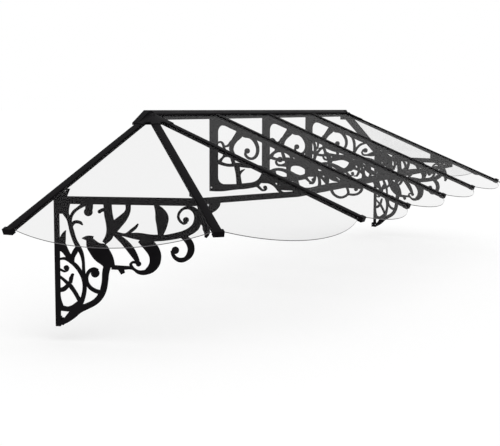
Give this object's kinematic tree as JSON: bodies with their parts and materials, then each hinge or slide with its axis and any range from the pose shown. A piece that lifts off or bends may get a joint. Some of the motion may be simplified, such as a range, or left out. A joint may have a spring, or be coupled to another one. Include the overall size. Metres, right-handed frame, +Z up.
{
  "type": "hipped lean-to canopy",
  "caption": "Lean-to wall canopy with hipped fan ends: clear sheets with arched lower edges between black sloping bars, carried from the wall by scrolled brackets.",
  "frame": {"origin": "on the back face of the wall rail, midway along it and level with the ridge axis", "axes": "+X along the wall, to the right as seen from in front; +Y into the wall; +Z up, so the canopy stands out along -Y"},
  "size_m": [4.06, 0.9889, 0.7646],
  "materials": {
    "frame_black": "satin",
    "cap_black": "satin",
    "clear_sheet": "gloss"
  },
  "bodies": {
    "root": {"wall_rail": "frame_black", "rail_cover": "frame_black", "hub_left": "frame_black", "hub_right": "frame_black", "hub_cover_left": "cap_black", "hub_cover_right": "cap_black", "wall_bar_left": "frame_black", "wall_bar_right": "frame_black", "corner_rafter_left": "frame_black", "corner_rafter_right": "frame_black", "front_rafter_1": "frame_black", "front_rafter_2": "frame_black", "front_rafter_3": "frame_black", "front_rafter_4": "frame_black", "front_rafter_5": "frame_black", "wall_strip_left": "frame_black", "wall_strip_right": "frame_black", "corner_strip_left": "frame_black", "corner_strip_right": "frame_black", "front_strip_1": "frame_black", "front_strip_2": "frame_black", "front_strip_3": "frame_black", "front_strip_4": "frame_black", "front_strip_5": "frame_black", "wall_end_cap_left": "cap_black", "wall_end_cap_right": "cap_black", "corner_end_cap_left": "cap_black", "corner_end_cap_right": "cap_black", "front_end_cap_1": "cap_black", "front_end_cap_2": "cap_black", "front_end_cap_3": "cap_black", "front_end_cap_4": "cap_black", "front_end_cap_5": "cap_black", "front_panel_1": "clear_sheet", "front_panel_2": "clear_sheet", "front_panel_3": "clear_sheet", "front_panel_4": "clear_sheet", "corner_panel_left": "clear_sheet", "corner_panel_right": "clear_sheet", "side_panel_left": "clear_sheet", "side_panel_right": "clear_sheet", "end_bracket_left": "frame_black", "end_bracket_right": "frame_black", "middle_bracket_1": "frame_black", "middle_bracket_2": "frame_black", "middle_bracket_3": "frame_black", "front_bar_1": "frame_black", "front_bar_2": "frame_black", "front_bar_3": "frame_black", "front_bar_4": "frame_black", "corner_bar_left": "frame_black", "corner_bar_right": "frame_black", "wall_cleat_1": "frame_black", "wall_cleat_2": "frame_black", "wall_cleat_3": "frame_black", "wall_cleat_4": "frame_black", "wall_cleat_5": "frame_black"}
  },
  "joints": []
}
